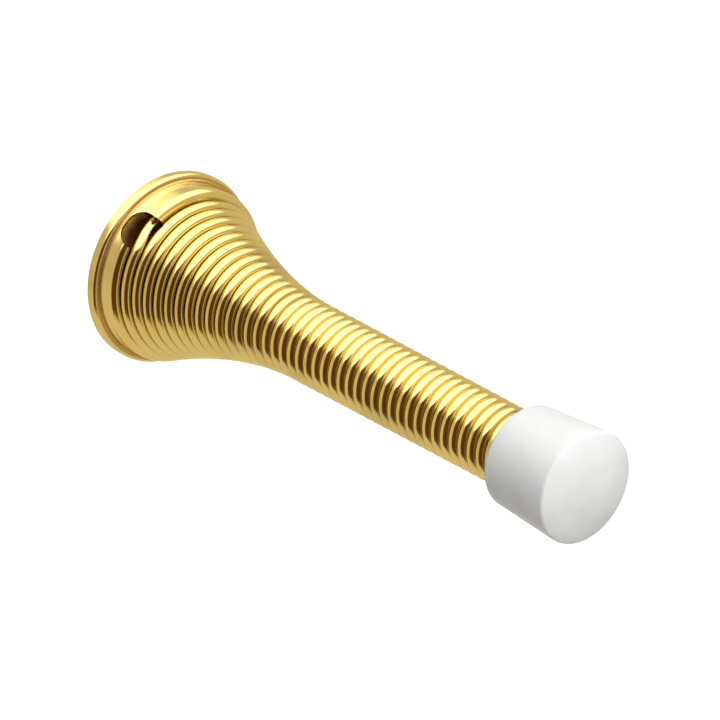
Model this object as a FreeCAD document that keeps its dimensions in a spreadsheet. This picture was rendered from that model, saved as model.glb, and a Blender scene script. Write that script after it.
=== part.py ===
import FreeCAD, Part
import math
import os

import Sketcher

# Spring door stop: a round base on the wall, a trumpet-shaped close-wound spring screwed into it,
# and a rubber tip pushed over the spring's free end.
# Origin on the wall at the spring's axis, +X away from the wall along that axis, +Z up, millimetres.

Vector = FreeCAD.Vector
AXIS = Vector(1, 0, 0)
ORIGIN = Vector(0, 0, 0)
NEAR = 1e-5
FULL_TURN = 360.0
HALF_TURN = 180.0

# Driving sizes: alias, value in millimetres or degrees, what it is
SIZES = [
    ("flange_width", 0.8, "flange outside the side wall"),
    ("flange_height", 1.5, "front of the flange, from the wall"),
    ("rim_round", 0.6, "front edge of the flange"),
    ("back_round", 0.2, "back edge of the flange"),
    ("step_round", 0.3, "hollow corner between flange and side wall"),
    ("shoulder_margin", 0.6, "base's shoulder outside the first coil"),
    ("shoulder_round", 0.95, "outer edge of the spring's seat"),
    ("wall_draft", 0.2, "spread of the side wall towards the flange"),
    ("wall_thickness", 0.9, "side wall outside the tail's socket"),
    ("crown_height", 4.0, "front of the crown, from the wall"),
    ("sheet_thickness", 0.7, "helical shoulder between the seat and the tail's socket"),
    ("lip_thickness", 0.65, "seat's ring inside the tail's socket"),
    ("seat_lip", 0.2, "lip inside the seat that keeps the coil from slipping inwards"),
    ("seat_clearance", 0.12, "between the spring and the base"),
    ("screw_hole_diameter", 4.5, "hole through the base for the fixing screw"),
    ("window_width", 5.0, "window that the spring's tail goes in by"),
    ("window_floor", 1.9, "lowest edge of the window, from the wall"),
    ("window_margin", 0.6, "how far the window reaches in past the seat"),
    ("window_corner", 2.0, "rounded corners of the window"),
    ("window_turn", 130.5, "middle of the window, in degrees from +Y towards +Z"),
    ("wire_diameter", 1.5, "spring wire"),
    ("coil_gap", 0.04, "between neighbouring turns"),
    ("coil_diameter", 22.2, "outside of the first coil"),
    ("neck_diameter", 9.55, "outside of the turns inside the tip"),
    ("neck_spread", 1.0, "how much wider the neck grows from the tip to the base"),
    ("flare_length", 23.5, "flared turns, along the axis"),
    ("flare_power", 1.8, "how fast the flare opens towards the base"),
    ("overall_length", 78.8, "wall to the middle of the tip's face"),
    ("tip_length", 12.0, "rubber tip, rim to the middle of its face"),
    ("face_rise", 1.5, "dome of the tip's face"),
    ("sleeve_diameter", 12.6, "tip at its rim"),
    ("head_diameter", 13.9, "tip at the edge of its face"),
    ("grip_depth", 8.0, "bore of the tip"),
    ("grip_clearance", 0.05, "between the tip's bore and the turns, on the radius"),
    ("sleeve_round", 0.7, "rim of the tip"),
    ("head_round", 0.4, "edge of the tip's face"),
    ("mouth_chamfer", 0.4, "mouth of the tip's bore"),
]

doc = FreeCAD.newDocument("spring_door_stop")


def make_sheet():
    """Put each driving size in a cell of its own, named by its alias."""
    made = doc.addObject("Spreadsheet::Sheet", "sizes")
    for row, (alias, value, meaning) in enumerate(SIZES, 1):
        made.set(f"A{row}", meaning)
        made.set(f"B{row}", str(value))
        made.setAlias(f"B{row}", alias)
    doc.recompute()
    return made


sheet = make_sheet()


def size(alias):
    """Read one driving size as a number."""
    return float(sheet.get(alias))


# Lengths that follow from the driving sizes, as expressions on the sheet
PITCH = "(sizes.wire_diameter + sizes.coil_gap)"
FLARE_SLOPE = ("((sizes.coil_diameter - sizes.neck_diameter - sizes.neck_spread) / 2"
               " * sizes.flare_power / sizes.flare_length)")
SEAT_CLIMB = f"({PITCH} / sqrt(1 + {FLARE_SLOPE} ^ 2))"
ROOT = "((sizes.coil_diameter - sizes.wire_diameter) / 2)"
SHOULDER = "(sizes.coil_diameter / 2 + sizes.shoulder_margin)"
SHOULDER_OVERCUT = "(sizes.shoulder_round * 0.02)"
SHOULDER_ARC = f"(sizes.shoulder_round + {SHOULDER_OVERCUT})"
SHOULDER_FOOT = "(sizes.crown_height - sizes.shoulder_round * 1.2)"
WALL_FOOT = f"({SHOULDER} + sizes.wall_draft)"
FLANGE = f"({WALL_FOOT} + sizes.flange_width)"
SOCKET = "(sizes.wire_diameter / 2 + sizes.seat_clearance)"
TAIL = f"({SHOULDER} - sizes.wall_thickness - {SOCKET})"
TAIL_PLACE = f"(sizes.crown_height - sizes.sheet_thickness - {SOCKET})"
SOCKET_TURN = f"(180 deg + 2 * asin(sizes.window_width / 2 / {ROOT}))"
SEAT_INSIDE = f"({TAIL} - {SOCKET} - sizes.lip_thickness)"
WINDOW_INSIDE = f"({SEAT_INSIDE} - sizes.window_margin)"
WINDOW_CORNER = "min(sizes.window_corner; sizes.window_width * 0.45)"
BLANK_TOP = f"(sizes.crown_height + 2 * {PITCH})"
CUTTER_TOP = f"(sizes.crown_height + 3 * {PITCH})"
CUTTER_INSIDE = f"({SEAT_INSIDE} - sizes.window_margin / 2)"
CUTTER_OUTSIDE = f"({FLANGE} + sizes.flange_width)"
SCREW_HOLE = "(sizes.screw_hole_diameter / 2)"
TIP_RIM = "(sizes.overall_length - sizes.tip_length)"
TIP_HEAD = "(sizes.overall_length - sizes.face_rise)"
BORE_END = f"({TIP_RIM} + sizes.grip_depth)"
BORE = "(sizes.neck_diameter / 2 + sizes.grip_clearance)"
SLEEVE = "(sizes.sleeve_diameter / 2)"
HEAD = "(sizes.head_diameter / 2)"


def number(expression):
    """Work out an expression on the sheet."""
    return float(sheet.evalExpression(expression))


def polar(along, radius, degrees):
    """Point at this place along the axis, this far from it, turned from +Y towards +Z."""
    turn = math.radians(degrees)
    return Vector(along, radius * math.cos(turn), radius * math.sin(turn))


# Sketches and features

def make_sketch(body, name, role):
    """Start a sketch on one of the body's own origin planes."""
    sketch = body.newObject("Sketcher::SketchObject", name)
    plane = next(item for item in body.Origin.OriginFeatures if item.Role == role)
    sketch.AttachmentSupport = [(plane, "")]
    sketch.MapMode = "FlatFace"
    doc.recompute()
    return sketch


def hold(sketch, line, end, corner):
    """Hold one end of a line at its two expressions from the sketch's origin."""
    for kind, axis, expression in (("DistanceX", -2, corner[0]), ("DistanceY", -1, corner[1])):
        value = number(expression)
        if abs(value) < NEAR:
            sketch.addConstraint(Sketcher.Constraint("PointOnObject", line, end, axis))
            continue
        ends = (-1, 1, line, end) if value > 0 else (line, end, -1, 1)
        index = sketch.addConstraint(Sketcher.Constraint(kind, *ends, abs(value)))
        sketch.setExpression(f"Constraints[{index}]", expression if value > 0 else f"-({expression})")


def draw_outline(sketch, corners, closed=True):
    """Draw straight lines through the corners, each corner a pair of expressions."""
    points = [Vector(number(x), number(y), 0) for x, y in corners]
    ends = points[1:] + points[:1] if closed else points[1:]
    lines = [sketch.addGeometry(Part.LineSegment(begin, end), False) for begin, end in zip(points, ends)]
    for line, corner in zip(lines, corners):
        hold(sketch, line, 1, corner)
    for line, following in zip(lines, lines[1:]):
        sketch.addConstraint(Sketcher.Constraint("Coincident", line, 2, following, 1))
    if closed:
        sketch.addConstraint(Sketcher.Constraint("Coincident", lines[-1], 2, lines[0], 1))
    else:
        hold(sketch, lines[-1], 2, corners[-1])


def revolve(body, name, sketch):
    """Turn a sketch once round the axis."""
    feature = body.newObject("PartDesign::Revolution", name)
    feature.Profile = sketch
    feature.ReferenceAxis = (sketch, ["H_Axis"])
    feature.Angle = FULL_TURN
    doc.recompute()
    return feature


def ring_edges(feature, along, radius):
    """Names of the edges that run round the axis at this place and radius."""
    def matches(edge):
        if edge.Degenerated or not isinstance(edge.Curve, Part.Circle):
            return False
        circle = edge.Curve
        return abs(circle.Center.x - along) < NEAR and abs(circle.Radius - radius) < NEAR
    return [f"Edge{place}" for place, edge in enumerate(feature.Shape.Edges, 1) if matches(edge)]


def round_ring(body, name, along, radius, expression, kind="PartDesign::Fillet", prop="Radius"):
    """Round or bevel the edge that runs round the axis at this place and radius."""
    base = body.Tip
    edges = ring_edges(base, number(along), number(radius))
    feature = body.newObject(kind, name)
    feature.Base = (base, edges)
    feature.setExpression(prop, expression)
    doc.recompute()
    return feature


def cut_by(body, feature):
    """Make sure that a cut has taken material away."""
    before = feature.BaseFeature.Shape.Volume
    doc.recompute()
    if feature.Shape.Volume > before - NEAR:
        raise RuntimeError(f"{feature.Name} cuts nothing from {body.Label}")


# Mounting base

def make_base():
    """Round base with a flange on the wall, a helical seat, and a socket and window for the tail."""
    body = doc.addObject("PartDesign::Body", "mounting_base")
    section = make_sketch(body, "base_section", "XY_Plane")
    draw_outline(section, [
        ("0", SCREW_HOLE),
        ("0", FLANGE),
        ("sizes.flange_height", FLANGE),
        ("sizes.flange_height", WALL_FOOT),
        (SHOULDER_FOOT, SHOULDER),
        (BLANK_TOP, SHOULDER),
        (BLANK_TOP, SEAT_INSIDE),
        ("sizes.crown_height", SEAT_INSIDE),
        ("sizes.crown_height", SCREW_HOLE),
    ])
    revolve(body, "base_blank", section)

    # The two front rounds share the flange's width, so neither takes more than its part of it
    round_ring(body, "rim", "sizes.flange_height", FLANGE,
               "min(sizes.rim_round; sizes.flange_width * 0.6; sizes.flange_height * 0.7)")
    round_ring(body, "step", "sizes.flange_height", WALL_FOOT,
               "min(sizes.step_round; sizes.flange_width * 0.35)")
    round_ring(body, "back_edge", "0", FLANGE, "min(sizes.back_round; sizes.flange_height * 0.25)")

    cut_window(body)
    cut_socket(body)
    cut_seat(body)
    body.Placement = FreeCAD.Placement(ORIGIN, FreeCAD.Rotation(AXIS, size("window_turn")))
    body.setExpression("Placement.Rotation.Angle", "sizes.window_turn")
    doc.recompute()
    return body


def cut_helix(body, name, profile, turns):
    """Cut along a helix that climbs as fast as the first coil does."""
    feature = body.newObject("PartDesign::SubtractiveHelix", name)
    feature.Profile = profile
    feature.ReferenceAxis = (profile, ["H_Axis"])
    feature.Mode = "pitch-turns-angle"
    feature.setExpression("Turns", turns)
    feature.setExpression("Pitch", SEAT_CLIMB)
    cut_by(body, feature)


def cut_seat(body):
    """Cut the blank down to a seat that climbs by one turn, with a rounded shoulder outside it."""
    profile = make_sketch(body, "seat_profile", "XY_Plane")
    # The shoulder's arc runs out a little past the side wall, so that it cuts the wall cleanly
    foot = f"(sizes.crown_height - {SHOULDER_ARC})"
    outer = f"({SHOULDER} + {SHOULDER_OVERCUT})"
    inner = f"({SHOULDER} - sizes.shoulder_round)"
    draw_outline(profile, [
        ("sizes.crown_height", inner),
        ("sizes.crown_height", f"{SEAT_INSIDE} + sizes.seat_lip"),
        ("sizes.crown_height + 2 * sizes.seat_lip", CUTTER_INSIDE),
        (CUTTER_TOP, CUTTER_INSIDE),
        (CUTTER_TOP, CUTTER_OUTSIDE),
        (foot, CUTTER_OUTSIDE),
        (foot, outer),
    ], closed=False)
    first, last = 0, profile.GeometryCount - 1
    draw_corner(profile, (first, 1), (last, 2), (foot, inner), 0, SHOULDER_ARC)
    cut_helix(body, "helical_seat", profile, "1")


def cut_socket(body):
    """Cut the socket that the spring's tail is screwed into, under the high end of the seat."""
    profile = make_sketch(body, "socket_profile", "XY_Plane")
    turned = FreeCAD.Rotation(AXIS, -number(SOCKET_TURN))
    profile.AttachmentOffset = FreeCAD.Placement(ORIGIN, turned)
    profile.setExpression("AttachmentOffset.Rotation.Angle", f"-{SOCKET_TURN}")
    place = f"({TAIL_PLACE} + {SEAT_CLIMB} * (1 - {SOCKET_TURN} / 360 deg))"
    middle = Vector(number(place), number(TAIL), 0)
    circle = profile.addGeometry(Part.Circle(middle, Vector(0, 0, 1), number(SOCKET)), False)
    hold(profile, circle, 3, (place, TAIL))
    index = profile.addConstraint(Sketcher.Constraint("Radius", circle, number(SOCKET)))
    profile.setExpression(f"Constraints[{index}]", SOCKET)
    cut_helix(body, "tail_socket", profile, f"{SOCKET_TURN} / 360 deg")


def cut_window(body):
    """Cut the window through the side wall, the seat and the edge of the crown."""
    outline = make_sketch(body, "window_outline", "XZ_Plane")
    outline.setExpression("AttachmentOffset.Base.z", f"-{WINDOW_INSIDE}")
    half = "sizes.window_width / 2"
    inner = f"({half} - {WINDOW_CORNER})"
    above = f"(sizes.window_floor + {WINDOW_CORNER})"
    draw_outline(outline, [
        (above, f"-({half})"),
        (CUTTER_TOP, f"-({half})"),
        (CUTTER_TOP, half),
        (above, half),
    ], closed=False)
    draw_outline(outline, [("sizes.window_floor", inner), ("sizes.window_floor", f"-{inner}")], closed=False)
    first_side, last_side, floor = 0, 2, 3
    quarter = HALF_TURN / 2
    draw_corner(outline, (last_side, 2), (floor, 1), (above, inner), quarter, WINDOW_CORNER)
    draw_corner(outline, (floor, 2), (first_side, 1), (above, f"-{inner}"), HALF_TURN, WINDOW_CORNER)
    window = body.newObject("PartDesign::Pocket", "window")
    window.Profile = outline
    window.Type = "ThroughAll"
    cut_by(body, window)


def draw_corner(sketch, leaving, arriving, centre, degrees, radius):
    """Round a corner by a quarter turn between the ends of two lines."""
    middle = Vector(number(centre[0]), number(centre[1]), 0)
    circle = Part.Circle(middle, Vector(0, 0, 1), number(radius))
    begin = math.radians(degrees)
    arc = sketch.addGeometry(Part.ArcOfCircle(circle, begin, begin + math.pi / 2), False)
    sketch.addConstraint(Sketcher.Constraint("Coincident", arc, 1, *leaving))
    sketch.addConstraint(Sketcher.Constraint("Coincident", arc, 2, *arriving))
    index = sketch.addConstraint(Sketcher.Constraint("Radius", arc, circle.Radius))
    sketch.setExpression(f"Constraints[{index}]", radius)


# Coil spring

def tangent_arc(start, corner, end):
    """Arc that leaves start towards the corner and reaches end from it, both equally far away."""
    middle = (start + end) * 0.5
    cosine = (end - start).Length / 2 / (corner - start).Length
    return Part.Arc(start, middle + (corner - middle) * (cosine / (1 + cosine)), end).toShape()


def two_arcs(start, leaving, end, arriving):
    """Two arcs that join smoothly and take one point and direction to another."""
    across = end - start
    along = across.dot(leaving + arriving)
    turned = 2 * (1 - leaving.dot(arriving))
    reach = (math.sqrt(along ** 2 + turned * across.dot(across)) - along) / turned
    first, second = start + leaving * reach, end - arriving * reach
    joint = (first + second) * 0.5
    return [tangent_arc(start, first, joint), tangent_arc(joint, second, end)]


def half_turn(start, end, degrees):
    """Arc half round the axis between two points, with its middle at this angle."""
    bulge = polar(0, (end - start).Length / 2, degrees)
    return Part.Arc(start, (start + end) * 0.5 + bulge, end).toShape()


def make_spring():
    """Close-wound wire: half a turn in the base's socket, a climb by its window, the flare and the neck."""
    wire = size("wire_diameter") / 2
    pitch = number(PITCH)
    climb = number(SEAT_CLIMB)
    clearance = size("seat_clearance")
    power = size("flare_power")
    root = number(ROOT)
    neck_end = size("neck_diameter") / 2 - wire
    neck = neck_end + size("neck_spread") / 2
    rim = number(TIP_RIM)

    # The wire climbs over the window's whole width, with the clearance at both ends
    dive = 2 * math.degrees(math.asin((size("window_width") / 2 - clearance) / root))
    outside = size("window_turn") + dive / 2
    inside = outside - dive
    start = size("crown_height") + climb * dive / 2 / FULL_TURN + wire + clearance

    def left_of_flare(along):
        return max(0.0, 1 - (along - start) / size("flare_length"))

    def coil_radius(along):
        left_of_neck = max(0.0, (rim - along) / (rim - start))
        return neck_end + (neck - neck_end) * left_of_neck + (root - neck) * left_of_flare(along) ** power

    def lean(along):
        return (root - neck) * power * left_of_flare(along) ** (power - 1) / size("flare_length")

    # Each half turn is one arc, and the turns are a pitch apart along the flare's own slope
    limit = number(BORE_END) - wire - clearance
    places = [start]
    while True:
        step = pitch / 2 / math.hypot(1, lean(places[-1] + pitch / 4))
        if places[-1] + step > limit:
            break
        places.append(places[-1] + step)
    points = [polar(along, coil_radius(along), outside + HALF_TURN * turn)
              for turn, along in enumerate(places)]
    quarter = HALF_TURN / 2
    coils = [half_turn(near_end, far_end, outside + HALF_TURN * turn + quarter)
             for turn, (near_end, far_end) in enumerate(zip(points, points[1:]))]

    # The tail follows its socket, half a turn back from the window
    tail_radius = number(TAIL)
    tail_place = number(TAIL_PLACE) + climb * (1 - dive / 2 / FULL_TURN)
    tail_end = polar(tail_place - climb / 2, tail_radius, inside - HALF_TURN)
    tail_start = polar(tail_place, tail_radius, inside)
    tail = half_turn(tail_end, tail_start, inside - quarter)
    way_out = two_arcs(tail_start, polar(0, 1, inside + quarter), points[0], polar(0, 1, outside + quarter))

    line = doc.addObject("Part::Feature", "spring_line")
    line.Shape = Part.Wire([tail, *way_out, *coils])
    section = doc.addObject("Part::Circle", "wire_section")
    section.setExpression("Radius", "sizes.wire_diameter / 2")
    facing = FreeCAD.Rotation(Vector(0, 0, 1), polar(0, 1, inside - quarter))
    section.Placement = FreeCAD.Placement(tail_end, facing)
    spring = doc.addObject("Part::Sweep", "coil_spring")
    spring.Sections = [section]
    spring.Spine = (line, [])
    spring.Solid = True
    doc.recompute()
    return spring


# Rubber tip

def make_tip():
    """Moulded rubber tip: a sleeve over the last turns that widens to a domed face."""
    body = doc.addObject("PartDesign::Body", "rubber_tip")
    section = make_sketch(body, "tip_section", "XY_Plane")
    draw_outline(section, [
        ("sizes.overall_length", "0"),
        (BORE_END, "0"),
        (BORE_END, BORE),
        (TIP_RIM, BORE),
        (TIP_RIM, SLEEVE),
        (TIP_HEAD, HEAD),
    ], closed=False)
    draw_face(section)
    revolve(body, "tip_blank", section)
    round_ring(body, "sleeve_rim", TIP_RIM, SLEEVE,
               f"min(sizes.sleeve_round; ({SLEEVE} - {BORE}) * 0.6)")
    round_ring(body, "face_edge", TIP_HEAD, HEAD, "sizes.head_round")
    round_ring(body, "bore_mouth", TIP_RIM, BORE, f"min(sizes.mouth_chamfer; ({SLEEVE} - {BORE}) * 0.3)",
               "PartDesign::Chamfer", "Size")
    return body


def draw_face(section):
    """Close the tip's section with the arc of its domed face, centred on the axis."""
    rise, edge = size("face_rise"), number(HEAD)
    radius = (edge ** 2 + rise ** 2) / (2 * rise)
    centre = size("overall_length") - radius
    circle = Part.Circle(Vector(centre, 0, 0), Vector(0, 0, 1), radius)
    last_line = section.GeometryCount - 1
    arc = section.addGeometry(Part.ArcOfCircle(circle, 0, math.atan2(edge, radius - rise)), False)
    section.addConstraint(Sketcher.Constraint("Coincident", arc, 1, 0, 1))
    section.addConstraint(Sketcher.Constraint("Coincident", arc, 2, last_line, 2))
    section.addConstraint(Sketcher.Constraint("PointOnObject", arc, 3, -1))


# Build, test and write

def check(pieces):
    """Stop if any object failed or any piece is empty, broken or not one solid."""
    doc.recompute()
    for item in doc.Objects:
        if "Invalid" in item.State or "Error" in item.State:
            raise RuntimeError(f"{item.Name} failed: {item.State}")
    for piece in pieces:
        shape = piece.Shape
        if shape.isNull() or not shape.isValid() or len(shape.Solids) != 1:
            raise RuntimeError(f"{piece.Label} is not one sound solid")


pieces = [make_base(), make_spring(), make_tip()]
check(pieces)
os.makedirs("parts", exist_ok=True)
for piece in pieces:
    piece.Shape.exportStep(f"parts/{piece.Label}.step")
    print(f"{piece.Label}: {piece.Shape.Volume:.2f} mm3, {len(piece.Shape.Faces)} faces")
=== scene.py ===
import logging
import math
from collections.abc import Callable
from dataclasses import dataclass
from enum import Enum
from typing import Any

import bpy
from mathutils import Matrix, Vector


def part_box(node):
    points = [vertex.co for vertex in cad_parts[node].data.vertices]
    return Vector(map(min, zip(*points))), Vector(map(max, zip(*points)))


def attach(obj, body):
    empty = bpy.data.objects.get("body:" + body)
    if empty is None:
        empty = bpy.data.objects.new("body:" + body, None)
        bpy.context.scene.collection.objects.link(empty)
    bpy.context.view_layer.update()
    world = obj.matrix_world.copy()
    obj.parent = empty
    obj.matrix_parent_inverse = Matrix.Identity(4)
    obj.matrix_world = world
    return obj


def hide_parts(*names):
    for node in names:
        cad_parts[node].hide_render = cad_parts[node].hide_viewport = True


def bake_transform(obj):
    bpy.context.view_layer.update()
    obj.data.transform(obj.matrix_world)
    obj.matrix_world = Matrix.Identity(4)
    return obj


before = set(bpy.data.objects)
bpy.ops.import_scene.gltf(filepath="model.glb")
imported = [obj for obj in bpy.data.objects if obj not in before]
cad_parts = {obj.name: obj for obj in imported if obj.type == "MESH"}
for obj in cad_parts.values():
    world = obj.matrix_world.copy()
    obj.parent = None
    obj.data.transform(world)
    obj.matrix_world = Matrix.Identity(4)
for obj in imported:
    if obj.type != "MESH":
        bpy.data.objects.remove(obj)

# Spring door stop: a polished brass base, a close-wound trumpet spring and a white rubber tip.
# The spring's axis is +X, away from the wall, and +Z is up.
# Lengths are in metres and angles in degrees, unless a name says otherwise.

LOG = logging.getLogger("door_stop")
MM = 0.001
FULL_TURN = 360.0
WIRE_LINE = "wire_line"
Colour = tuple[float, float, float]
Socket = bpy.types.NodeSocket


def sine(degrees: float) -> float:
    """Sine of an angle in degrees."""
    return math.sin(math.radians(degrees))


def around_axis(along: float, radius: float, degrees: float) -> Vector:
    """Point at a place along the axis, at a radius from it and at an angle from +Y towards +Z."""
    turn = math.radians(degrees)
    return Vector((along, radius * math.cos(turn), radius * math.sin(turn)))


def deselect() -> None:
    """Leave nothing selected."""
    if bpy.context.object is not None and bpy.context.object.mode != "OBJECT":
        bpy.ops.object.mode_set(mode="OBJECT")
    bpy.ops.object.select_all(action="DESELECT")


def dress(piece: bpy.types.Object, material: bpy.types.Material) -> None:
    """Give a mesh object one material all over."""
    piece.data.materials.clear()
    piece.data.materials.append(material)


class Grain(Enum):
    """Which way the polish lines of a metal run."""

    TURNED = "round the axis"
    DRAWN = "along the wire"


@dataclass(frozen=True)
class Ramp:
    """A smooth change from one level to another, while a value goes from low to high."""

    low: float
    high: float
    start: float = 0.0
    end: float = 1.0

    def through(self, change: Callable[[float], float]) -> "Ramp":
        """The same change of level, with low and high put through a function."""
        return Ramp(change(self.low), change(self.high), self.start, self.end)


class ShaderGraph:
    """The node tree of one material or of the world, built node by node."""

    def __init__(self, owner: bpy.types.ID) -> None:
        """Start with an empty tree.

        Args:
            owner: The material or world that holds the tree.
        """
        owner.use_nodes = True
        self.tree = owner.node_tree
        self.tree.nodes.clear()

    def add(self, kind: str, **settings: Any) -> bpy.types.Node:
        """Add one node.

        Args:
            kind: Blender's name for the node.
            settings: Properties of the node to set.

        Returns:
            The new node.
        """
        node = self.tree.nodes.new(kind)
        for name, value in settings.items():
            setattr(node, name, value)
        return node

    def feed(self, node: bpy.types.Node, inputs: dict[str | int, Any]) -> None:
        """Give a node's inputs their values.

        Args:
            node: The node to feed.
            inputs: A socket, number, vector or colour for each input, by the input's name or place.
        """
        for key, value in inputs.items():
            if isinstance(value, Socket):
                self.tree.links.new(value, node.inputs[key])
            else:
                node.inputs[key].default_value = value

    def finish(self, shader: Socket, output: str = "ShaderNodeOutputMaterial") -> None:
        """Send a shader to the tree's output."""
        self.feed(self.add(output), {"Surface": shader})

    def object_place(self) -> Socket:
        """Socket of each point's place on its own object."""
        return self.add("ShaderNodeTexCoord").outputs["Object"]

    def split(self, vector: Socket) -> bpy.types.bpy_prop_collection:
        """Take a vector apart.

        Args:
            vector: The vector's socket.

        Returns:
            Sockets named X, Y and Z.
        """
        node = self.add("ShaderNodeSeparateXYZ")
        self.feed(node, {0: vector})
        return node.outputs

    def math(self, operation: str, *inputs: Any) -> Socket:
        """Add a Math node.

        Args:
            operation: The node's operation.
            inputs: Numbers or sockets, in the order of the node's inputs.

        Returns:
            The result's socket.
        """
        node = self.add("ShaderNodeMath", operation=operation)
        self.feed(node, dict(enumerate(inputs)))
        return node.outputs[0]

    def span(self, value: Socket, ramp: Ramp) -> Socket:
        """Take a value through a ramp, clamped at both ends.

        Args:
            value: The socket to read.
            ramp: Where the level changes, and from what to what.

        Returns:
            The level's socket.
        """
        node = self.add("ShaderNodeMapRange", interpolation_type="SMOOTHSTEP")
        self.feed(node, dict(enumerate((value, ramp.low, ramp.high, ramp.start, ramp.end))))
        return node.outputs[0]

    def noise(self, vector: Socket, scale: float, detail: float = 4.0) -> Socket:
        """Add a noise texture.

        Args:
            vector: Where the pattern is read.
            scale: Waves per unit of the vector.
            detail: Octaves of the pattern.

        Returns:
            The noise value's socket, about 0.5 on average.
        """
        node = self.add("ShaderNodeTexNoise")
        self.feed(node, {"Vector": vector, "Scale": scale, "Detail": detail})
        return node.outputs["Fac"]

    def mix(self, factor: Socket, first: Any, second: Any) -> Socket:
        """Mix two colours.

        Args:
            factor: Share of the second colour.
            first: Colour or socket at 0.
            second: Colour or socket at 1.

        Returns:
            The mixed colour's socket.
        """
        node = self.add("ShaderNodeMix", data_type="RGBA")
        places = [place for place, item in enumerate(node.inputs) if item.type == "RGBA"]
        colours = [item if isinstance(item, Socket) else (*item, 1.0) for item in (first, second)]
        self.feed(node, {"Factor": factor} | dict(zip(places, colours)))
        return next(item for item in node.outputs if item.type == "RGBA")

    def bump(self, height: Socket, strength: float, distance: float) -> Socket:
        """Make a normal from a height.

        Args:
            height: Height pattern.
            strength: Share of the bump to show.
            distance: Depth of the pattern.

        Returns:
            The normal's socket.
        """
        node = self.add("ShaderNodeBump")
        self.feed(node, {"Height": height, "Strength": strength, "Distance": distance})
        return node.outputs["Normal"]


@dataclass(frozen=True)
class Zones:
    """Where a brass piece differs from clean, polished metal, by tarnish, painted shade and roughness."""

    # Tarnish, and on the spring also painted shade between the turns
    tarnish_and_shade: Socket
    # Painted shade, which also makes the metal rough
    painted_shade: Socket
    cut_roughness: Socket | float = 0.0


@dataclass(frozen=True)
class PolishedBrass:
    """Polished yellow brass with faint polish lines, patches of tarnish, and painted shade in its hollows.
    """

    name: str
    grain: Grain
    line_scale: float
    bright: Colour = (0.88, 0.68, 0.245)
    # Colour of tarnish, also used as painted shade between the spring's turns
    tarnish_and_shade: Colour = (0.40, 0.32, 0.14)
    # Dark colour of painted shade, for crevices, corners and the inside
    painted_shade: Colour = (0.28, 0.10, 0.025)
    patch_scale: float = 130.0
    patch_tarnish: Ramp = Ramp(0.45, 0.75, 0.0, 0.35)
    # Lines and patches add up to the wear, which sets the roughness
    line_wear: float = 0.6
    patch_wear: float = 0.4
    roughness: Ramp = Ramp(0.3, 0.7, 0.08, 0.18)
    hidden_roughness: float = 0.8
    line_relief: float = 0.35
    line_depth: float = 0.004 * MM

    def grain_place(self, graph: ShaderGraph, place: Socket) -> Socket:
        """Where the polish lines are read: along and across a turned piece's axis, or along a wire.

        Args:
            graph: The tree to add to.
            place: Socket of the place on the piece.

        Returns:
            The vector's socket.
        """
        if self.grain is Grain.DRAWN:
            return graph.add("ShaderNodeAttribute", attribute_name=WIRE_LINE).outputs["Vector"]
        parts = graph.split(place)
        squares = [graph.math("POWER", parts[axis], 2.0) for axis in "YZ"]
        turned = graph.add("ShaderNodeCombineXYZ")
        graph.feed(turned, {"X": parts["X"], "Y": graph.math("SQRT", graph.math("ADD", *squares))})
        return turned.outputs[0]

    def material(self, find_zones: Callable[[ShaderGraph, Socket], Zones]) -> bpy.types.Material:
        """Make the brass material of one piece.

        Args:
            find_zones: Adds the piece's own zones to the tree, read where its polish lines are.

        Returns:
            The new material.
        """
        made = bpy.data.materials.new(self.name)
        graph = ShaderGraph(made)
        place = graph.object_place()
        patches = graph.noise(place, self.patch_scale)
        grain_place = self.grain_place(graph, place)
        lines = graph.noise(grain_place, self.line_scale)
        zones = find_zones(graph, grain_place)

        # Tarnish patches plus the zone's tarnish, which on the spring is partly painted shade between the
        # turns
        tarnish = graph.math("ADD", zones.tarnish_and_shade, graph.span(patches, self.patch_tarnish))
        outside = graph.mix(tarnish, self.bright, self.tarnish_and_shade)
        wear = graph.math("ADD", graph.math("MULTIPLY", lines, self.line_wear),
                          graph.math("MULTIPLY", patches, self.patch_wear))
        unpolished = graph.math("MAXIMUM", graph.math("MULTIPLY", zones.painted_shade, self.hidden_roughness),
                                zones.cut_roughness)
        shader = graph.add("ShaderNodeBsdfPrincipled")
        graph.feed(shader, {
            "Metallic": 1.0,
            # Painted shade is mixed into the colour where the zones ask for it
            "Base Color": graph.mix(zones.painted_shade, outside, self.painted_shade),
            "Roughness": graph.math("MAXIMUM", graph.span(wear, self.roughness), unpolished),
            "Normal": graph.bump(lines, self.line_relief, self.line_depth),
        })
        graph.finish(shader.outputs["BSDF"])
        return made


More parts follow.
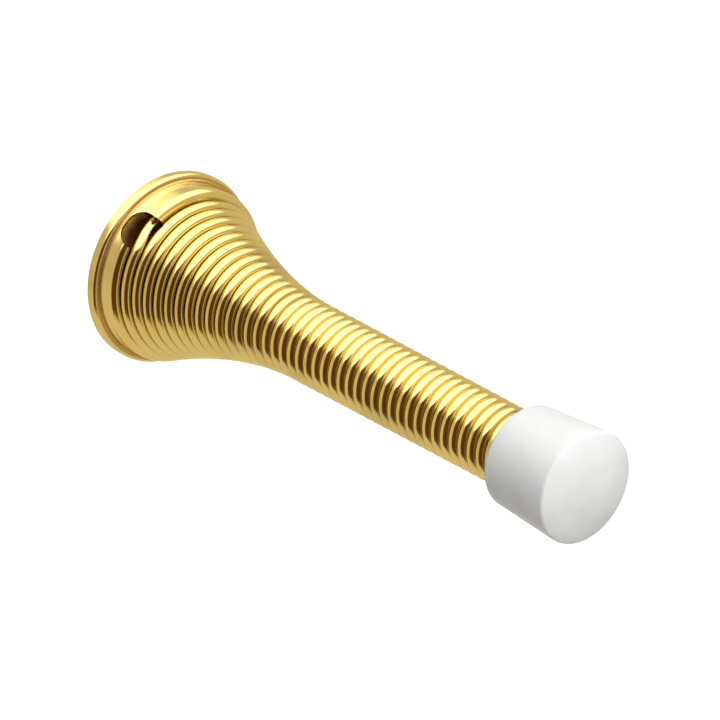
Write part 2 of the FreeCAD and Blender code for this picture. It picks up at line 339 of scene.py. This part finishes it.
@dataclass(frozen=True)
class WhiteRubber:
    """Moulded white rubber: satin, finely pebbled and a little uneven in tone."""

    name: str
    clean: Colour = (0.86, 0.86, 0.855)
    soiled: Colour = (0.79, 0.79, 0.775)
    patch_scale: float = 190.0
    soiling: Ramp = Ramp(0.4, 0.75)
    roughness: Ramp = Ramp(0.3, 0.7, 0.42, 0.58)
    gloss: float = 0.4
    translucency: float = 0.12
    light_reach: float = 1.2 * MM
    pebble_scale: float = 2600.0
    pebble_detail: float = 2.0
    pebble_relief: float = 0.5
    pebble_depth: float = 0.012 * MM

    def material(self) -> bpy.types.Material:
        """Make the rubber material.

        Returns:
            The new material.
        """
        made = bpy.data.materials.new(self.name)
        graph = ShaderGraph(made)
        place = graph.object_place()
        patches = graph.noise(place, self.patch_scale)
        pebbles = graph.noise(place, self.pebble_scale, self.pebble_detail)
        shader = graph.add("ShaderNodeBsdfPrincipled")
        graph.feed(shader, {
            "Base Color": graph.mix(graph.span(patches, self.soiling), self.clean, self.soiled),
            "Roughness": graph.span(patches, self.roughness),
            "Specular IOR Level": self.gloss,
            "Subsurface Weight": self.translucency,
            "Subsurface Scale": self.light_reach,
            "Normal": graph.bump(pebbles, self.pebble_relief, self.pebble_depth),
        })
        graph.finish(shader.outputs["BSDF"])
        return made


@dataclass
class MountingBase:
    """Turned brass base: the solid as it is, less polished in its hollows, near the wall and inside, with
    painted shade in its step and inside.
    """

    name: str = "mounting_base"
    finish: PolishedBrass = PolishedBrass("base_brass", Grain.TURNED, line_scale=2200.0)
    # Painted shade in the step between flange and side wall, by the distance from the step's corner
    step_along: float = 1.5 * MM
    step_across: float = 11.9 * MM
    step_shade: Ramp = Ramp(0.3 * MM, 0.55 * MM, 0.5, 0.0)
    # Tarnish near the wall and on the spring's seat
    back_tarnish: Ramp = Ramp(0.0, 1.5 * MM, 0.25, 0.0)
    seat_tarnish: Ramp = Ramp(10.7 * MM, 11.0 * MM, 0.5, 0.0)
    # The face on the wall keeps its polish, and the inside behind the window has none and gets painted shade
    off_wall: Ramp = Ramp(0.2 * MM, 0.6 * MM)
    inside_across: Ramp = Ramp(10.2 * MM, 10.5 * MM, 1.0, 0.0)
    inside_along: Ramp = Ramp(3.7 * MM, 4.1 * MM, 1.0, 0.0)
    # Roughness of the window's cut edge, within the side wall
    cut_across: Ramp = Ramp(11.55 * MM, 11.6 * MM, 0.5, 0.0)
    cut_along: Ramp = Ramp(2.8 * MM, 2.9 * MM, 1.0, 0.0)

    def find_zones(self, graph: ShaderGraph, place: Socket) -> Zones:
        """Find the base's painted shade in its step and inside, its tarnish and its cut edge.

        Args:
            graph: The tree to add to.
            place: Socket of the place along and across the axis.

        Returns:
            The zones' sockets.
        """
        parts = graph.split(place)
        along, across = parts["X"], parts["Y"]
        off_wall = graph.span(along, self.off_wall)

        def within(across_ramp: Ramp, along_ramp: Ramp) -> Socket:
            """Level within two ramps, off the wall."""
            level = graph.math("MULTIPLY", graph.span(across, across_ramp), graph.span(along, along_ramp))
            return graph.math("MULTIPLY", level, off_wall)

        seat = graph.math("MULTIPLY", graph.span(across, self.seat_tarnish), off_wall)
        tarnish_and_shade = graph.math("MAXIMUM", graph.span(along, self.back_tarnish), seat)
        # Painted shade in the step's corner and on the inside behind the window
        step = graph.add("ShaderNodeVectorMath", operation="DISTANCE")
        graph.feed(step, {0: place, 1: (self.step_along, self.step_across, 0.0)})
        corner_shade = graph.span(step.outputs["Value"], self.step_shade)
        painted_shade = graph.math("MAXIMUM", corner_shade, within(self.inside_across, self.inside_along))
        return Zones(tarnish_and_shade, painted_shade, within(self.cut_across, self.cut_along))

    def assemble(self) -> None:
        """Dress the solid."""
        dress(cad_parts[self.name], self.finish.material(self.find_zones))


@dataclass
class CoilSpring:
    """One length of wire: tail inside the base, way out by its window, flared turns and straight turns."""

    name: str = "spring_wire"
    finish: PolishedBrass = PolishedBrass("spring_brass", Grain.DRAWN, line_scale=5.0)
    wire: float = 1.5 * MM
    coil_gap: float = 0.04 * MM
    root_diameter: float = 22.2 * MM
    end_diameter: float = 9.55 * MM
    neck_spread: float = 1.0 * MM
    flare_start: float = 4.92 * MM
    flare_length: float = 23.5 * MM
    flare_power: float = 1.8
    # The tail lies in the base's socket, and the wire climbs out over the dive's angle at the window
    tail_radius: float = 9.93 * MM
    tail_angle: float = 180.0
    seat_climb: float = 1.406 * MM
    window_middle: float = 130.5
    dive: float = 26.6
    # Sides of the round wire, and steps along a turn, the tail and the way out
    sides: int = 20
    steps: int = 64
    tail_steps: int = 32
    climb_steps: int = 16
    crease: float = 50.0
    # On the real stop, the spring is still up to the first of these places on the axis, and moves with the
    # tip from the second
    still: float = 6.5 * MM
    moving: float = 43.5 * MM
    # Levels of tarnish and of painted shade, by how directly the wire's side faces a neighbouring turn
    hollow_tarnish_and_shade: Ramp = Ramp(0.66, 0.97, 0.0, 0.65)
    crevice_shade: Ramp = Ramp(0.95, 1.0, 0.0, 0.3)

    def coil_radius(self, along: float, rim: float) -> float:
        """Radius of the wire's middle at a place along the axis.

        Args:
            along: Place along the axis.
            rim: Where the tip begins and the neck stops tapering.

        Returns:
            The radius.
        """
        left_of_neck = max(0.0, (rim - along) / (rim - self.flare_start))
        left_of_flare = max(0.0, 1 - (along - self.flare_start) / self.flare_length)
        root = (self.root_diameter - self.wire) / 2
        neck_end = (self.end_diameter - self.wire) / 2
        neck = neck_end + self.neck_spread / 2
        return (neck_end + (neck - neck_end) * left_of_neck
                + (root - neck) * left_of_flare ** self.flare_power)

    def centre_line(self) -> list[Vector]:
        """Points along the middle of the wire, from the end of its tail to its free end.

        Returns:
            The points, in order.
        """
        low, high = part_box("coil_spring")
        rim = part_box("rubber_tip")[0].x
        tail_end = low.x + self.wire / 2
        tail_start = tail_end + self.seat_climb * self.tail_angle / FULL_TURN
        outside = self.window_middle + self.dive / 2
        inside = outside - self.dive

        # Tail, at the climb of the base's socket
        line = []
        for count in range(self.tail_steps):
            share = count / self.tail_steps
            along = tail_end + (tail_start - tail_end) * share
            line.append(around_axis(along, self.tail_radius, inside - self.tail_angle * (1 - share)))

        # Way out by the window, with an eased climb to the first turn
        root = self.coil_radius(self.flare_start, rim)
        natural = self.seat_climb * self.dive / FULL_TURN
        for count in range(self.climb_steps):
            share = count / self.climb_steps
            eased = share * share * (3 - 2 * share)
            along = tail_start + natural * share + (self.flare_start - tail_start - natural) * eased
            radius = self.tail_radius + (root - self.tail_radius) * eased
            line.append(around_axis(along, radius, inside + self.dive * share))

        # Close-wound turns, each step shortened where the flare is steep
        along = self.flare_start
        degrees = outside
        advance = (self.wire + self.coil_gap) / self.steps
        while along < high.x - self.wire / 2:
            radius = self.coil_radius(along, rim)
            line.append(around_axis(along, radius, degrees))
            slope = (radius - self.coil_radius(along + advance, rim)) / advance
            along += advance / math.hypot(1, slope)
            degrees += FULL_TURN / self.steps
        return line

    def build(self) -> bpy.types.Object:
        """Draw the wire's line as a curve, thicken it and make it a mesh.

        Returns:
            The spring.
        """
        line = self.centre_line()
        deselect()
        bpy.ops.curve.primitive_nurbs_path_add()
        spring = bpy.context.object
        spring.name = self.name
        curve = spring.data
        curve.splines.clear()
        path = curve.splines.new("POLY")
        path.points.add(len(line) - 1)
        for point, place in zip(path.points, line):
            point.co = (*place, 1.0)
        curve.dimensions = "3D"
        curve.bevel_depth = self.wire / 2
        # A round bevel of resolution n has 2 (n + 2) sides
        curve.bevel_resolution = self.sides // 2 - 2
        curve.use_fill_caps = True
        bpy.ops.object.convert(target="MESH")
        bpy.ops.object.shade_smooth_by_angle(angle=math.radians(self.crease))
        self.mark(spring, line)
        return spring

    def next_turn(self, line: list[Vector], ring: int) -> Vector:
        """Direction from one turn to the next, or along the axis in the tail and the way out.

        Args:
            line: Middle of the wire.
            ring: Number of the point on the line.

        Returns:
            A unit vector.
        """
        if ring < self.tail_steps + self.climb_steps:
            return Vector((1, 0, 0))
        start = min(ring, len(line) - 1 - self.steps)
        return (line[start + self.steps] - line[start]).normalized()

    def mark(self, spring: bpy.types.Object, line: list[Vector]) -> None:
        """Note, at each point of the mesh, how far along the wire and on which side of it the point is.

        Args:
            spring: The spring's mesh object.
            line: Middle of the wire.
        """
        rings = len(line)
        travelled = [0.0]
        for first, second in zip(line, line[1:]):
            travelled.append(travelled[-1] + (second - first).length)
        outwards = [Vector((0, middle.y, middle.z)).normalized() for middle in line]
        onwards = [self.next_turn(line, ring) for ring in range(rings)]

        # The mesh lists the points of its two caps first, and then ring after ring
        vertices = spring.data.vertices
        per_ring = len(vertices) // rings
        on_caps = len(vertices) - per_ring * rings
        attribute = spring.data.attributes.new(WIRE_LINE, "FLOAT_VECTOR", "POINT")
        for vertex, item in zip(vertices, attribute.data):
            if vertex.index < on_caps:
                ring = min((0, rings - 1), key=lambda end: (line[end] - vertex.co).length)
            else:
                ring = (vertex.index - on_caps) // per_ring
            away = (vertex.co - line[ring]).normalized()
            item.vector = (travelled[ring] / self.root_diameter,
                           away.dot(outwards[ring]), away.dot(onwards[ring]))

    def find_zones(self, graph: ShaderGraph, place: Socket) -> Zones:
        """Find the hollows between the turns, which get tarnish and painted shade.

        Args:
            graph: The tree to add to.
            place: Socket of the place along the wire and on its sides.

        Returns:
            The zones' sockets.
        """
        side = graph.math("ABSOLUTE", graph.split(place)["Z"])
        # Painted shade between the turns: partly in the tarnish colour, and deepest in the dark shade colour
        return Zones(graph.span(side, self.hollow_tarnish_and_shade), graph.span(side, self.crevice_shade))

    def assemble(self) -> None:
        """Build and dress the spring, and hide the solid spring it stands in for."""
        spring = self.build()
        dress(spring, self.finish.material(self.find_zones))
        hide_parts("coil_spring")
        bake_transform(spring)


@dataclass
class RubberTip:
    """White rubber tip: the solid's own shape, with its triangles joined and shaded smoothly."""

    name: str = "tip_moulding"
    finish: WhiteRubber = WhiteRubber("white_rubber")
    node: str = "rubber_tip"
    body: str = "arm"
    slot: str = "white_rubber"
    weld: float = 0.001 * MM
    crease: float = 40.0

    def build(self) -> bpy.types.Object:
        """Copy the solid's mesh and join its triangles.

        Returns:
            The tip.
        """
        tip = bpy.data.objects.new(self.name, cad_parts[self.node].data.copy())
        bpy.context.scene.collection.objects.link(tip)
        deselect()
        tip.select_set(True)
        bpy.context.view_layer.objects.active = tip
        bpy.ops.object.mode_set(mode="EDIT")
        bpy.ops.mesh.select_all(action="SELECT")
        bpy.ops.mesh.remove_doubles(threshold=self.weld)
        bpy.ops.object.mode_set(mode="OBJECT")
        bpy.ops.mesh.customdata_custom_splitnormals_clear()
        bpy.ops.object.shade_smooth_by_angle(angle=math.radians(self.crease))
        return tip

    def assemble(self) -> None:
        """Build and dress the tip, and let it move with the spring's free end."""
        tip = self.build()
        dress(tip, self.finish.material())
        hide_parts(self.node)
        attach(tip, self.body)


@dataclass
class Studio:
    """White surroundings, soft light from above, a light tent for reflections, and the camera."""

    # The camera looks towards the target, which has this place and scale in the square picture
    azimuth: float = 49.47
    elevation: float = 27.08
    distance: float = 459.5 * MM
    target: tuple[float, float, float] = (38.8 * MM, 0.0, 0.0)
    target_pixel: tuple[float, float] = (365.2, 370.7)
    picture_pixels: int = 720
    pixels_per_mm: float = 8.31
    sensor_mm: float = 36.0
    nearest: float = 0.01

    floor_drop: float = 0.30
    floor_size: float = 8.0
    floor_paint: Colour = (0.85, 0.85, 0.85)
    floor_glow: float = 0.8
    backdrop: Ramp = Ramp(0.0, 1.0, 0.28, 1.0)

    # Levels of the tent by elevation, and of its top also by the share of its radius away from the camera
    tent_radius: float = 0.25
    tent_segments: int = 64
    tent_rings: int = 32
    tent_level: Ramp = Ramp(-50.0, -30.0, 0.72, 0.68)
    tent_tint: Colour = (1.0, 0.91, 0.70)
    top_level: Ramp = Ramp(27.0, 40.0, 0.0, 1.72)
    top_fading: Ramp = Ramp(0.25, 0.8, 1.0, 0.35)

    # Edges of the dark panel by elevation, and by azimuth from -Y towards +X
    panel_tone: Colour = (0.11, 0.045, 0.003)
    panel_foot: Ramp = Ramp(-45.0, -33.0)
    panel_head: Ramp = Ramp(36.0, 46.0, 1.0, 0.0)
    panel_left: Ramp = Ramp(-9.0, 9.0)
    panel_right: Ramp = Ramp(60.0, 84.0, 1.0, 0.0)

    lamp_offset: tuple[float, float, float] = (0.34, -0.04, 0.50)
    lamp_size: float = 0.5
    lamp_watts: float = 4.0

    def add_camera(self) -> None:
        """Put the camera where the photograph was taken from."""
        turn = math.radians(self.azimuth)
        rise = math.radians(self.elevation)
        level = math.cos(rise)
        back = Vector((math.sin(turn) * level, -math.cos(turn) * level, math.sin(rise)))
        deselect()
        bpy.ops.object.camera_add(location=Vector(self.target) + back * self.distance)
        camera = bpy.context.object
        camera.name = "photo_camera"
        camera.rotation_euler = back.to_track_quat("Z", "Y").to_euler()
        focal_pixels = self.pixels_per_mm * self.distance / MM
        across, down = self.target_pixel
        camera.data.sensor_width = self.sensor_mm
        camera.data.lens = focal_pixels / self.picture_pixels * self.sensor_mm
        camera.data.shift_x = (self.picture_pixels / 2 - across) / self.picture_pixels
        camera.data.shift_y = (down - self.picture_pixels / 2) / self.picture_pixels
        camera.data.clip_start = self.nearest
        bpy.context.scene.camera = camera

    def seen(self, graph: ShaderGraph) -> Socket:
        """Share that is 1 for rays that show the surroundings, in the picture or in a reflection.

        Args:
            graph: The tree to add to.

        Returns:
            The share's socket.
        """
        rays = graph.add("ShaderNodeLightPath").outputs
        shiny = graph.math("MAXIMUM", rays["Is Glossy Ray"], rays["Is Transmission Ray"])
        return graph.math("MAXIMUM", rays["Is Camera Ray"], shiny)

    def add_world(self) -> None:
        """White surroundings that light the object only softly."""
        world = bpy.data.worlds.new("studio")
        bpy.context.scene.world = world
        graph = ShaderGraph(world)
        white = graph.add("ShaderNodeBackground")
        graph.feed(white, {"Color": (1, 1, 1, 1), "Strength": graph.span(self.seen(graph), self.backdrop)})
        graph.finish(white.outputs[0], "ShaderNodeOutputWorld")

    def add_floor(self) -> None:
        """Pale floor far below the object, as the stop is fixed to a wall."""
        deselect()
        bpy.ops.mesh.primitive_plane_add(size=self.floor_size, location=(0, 0, -self.floor_drop))
        floor = bpy.context.object
        floor.name = "floor"
        made = bpy.data.materials.new("pale_floor")
        graph = ShaderGraph(made)
        paint = graph.add("ShaderNodeBsdfDiffuse")
        graph.feed(paint, {"Color": (*self.floor_paint, 1.0)})
        glow = graph.add("ShaderNodeEmission")
        graph.feed(glow, {"Strength": graph.math("MULTIPLY", self.seen(graph), self.floor_glow)})
        both = graph.add("ShaderNodeAddShader")
        graph.feed(both, {0: paint.outputs[0], 1: glow.outputs[0]})
        graph.finish(both.outputs[0])
        dress(floor, made)

    def tent_cloth(self) -> bpy.types.Material:
        """Make the tent's glowing cloth: bright above, dimmer below, with a dark panel round the camera.

        Returns:
            The new material.
        """
        made = bpy.data.materials.new("tent_cloth")
        graph = ShaderGraph(made)
        place = graph.object_place()
        parts = graph.split(place)
        rise = graph.math("DIVIDE", parts["Z"], self.tent_radius)
        around = graph.math("ARCTAN2", parts["X"], graph.math("MULTIPLY", parts["Y"], -1.0))
        turn = math.radians(self.azimuth)
        away = graph.add("ShaderNodeVectorMath", operation="DOT_PRODUCT")
        graph.feed(away, {0: place, 1: (-math.sin(turn), math.cos(turn), 0.0)})

        fading = self.top_fading.through(lambda share: share * self.tent_radius)
        above = graph.math("MULTIPLY", graph.span(rise, self.top_level.through(sine)),
                           graph.span(away.outputs["Value"], fading))
        below = graph.span(rise, self.tent_level.through(sine))
        level = graph.add("ShaderNodeCombineColor")
        for channel, tint in enumerate(self.tent_tint):
            graph.feed(level, {channel: graph.math("MULTIPLY_ADD", below, tint, above)})

        upright = graph.math("MULTIPLY", graph.span(rise, self.panel_foot.through(sine)),
                             graph.span(rise, self.panel_head.through(sine)))
        sideways = graph.math("MULTIPLY", graph.span(around, self.panel_left.through(math.radians)),
                              graph.span(around, self.panel_right.through(math.radians)))
        panel = graph.math("MULTIPLY", upright, sideways)
        cloth = graph.add("ShaderNodeEmission")
        graph.feed(cloth, {"Color": graph.mix(panel, level.outputs[0], self.panel_tone)})
        graph.finish(cloth.outputs[0])
        return made

    def add_tent(self) -> None:
        """Light tent round the object, which only reflections show."""
        deselect()
        bpy.ops.mesh.primitive_uv_sphere_add(segments=self.tent_segments, ring_count=self.tent_rings,
                                             radius=self.tent_radius)
        tent = bpy.context.object
        tent.name = "light_tent"
        dress(tent, self.tent_cloth())
        tent.visible_camera = False
        tent.visible_diffuse = False
        tent.visible_transmission = False
        tent.visible_shadow = False

    def add_lamp(self) -> None:
        """Soft square lamp above, turned to the object and kept out of reflections."""
        offset = Vector(self.lamp_offset)
        deselect()
        bpy.ops.object.light_add(type="AREA", location=Vector(self.target) + offset)
        lamp = bpy.context.object
        lamp.name = "overhead"
        lamp.data.shape = "SQUARE"
        lamp.data.size = self.lamp_size
        lamp.data.energy = self.lamp_watts
        lamp.visible_glossy = False
        lamp.rotation_euler = offset.to_track_quat("Z", "Y").to_euler()

    def build(self) -> None:
        """Set up the whole studio."""
        bpy.context.scene.view_settings.view_transform = "Standard"
        self.add_world()
        self.add_floor()
        self.add_tent()
        self.add_lamp()
        self.add_camera()


def main() -> None:
    """Build and dress the pieces in order, and set up the studio."""
    logging.basicConfig(level=logging.INFO, format="%(name)s: %(message)s")
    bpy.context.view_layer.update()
    for piece in (MountingBase(), RubberTip(), CoilSpring()):
        piece.assemble()
        LOG.info("%s in place", piece.name)
    Studio().build()
    LOG.info("studio built")


if __name__ == "__main__":
    main()
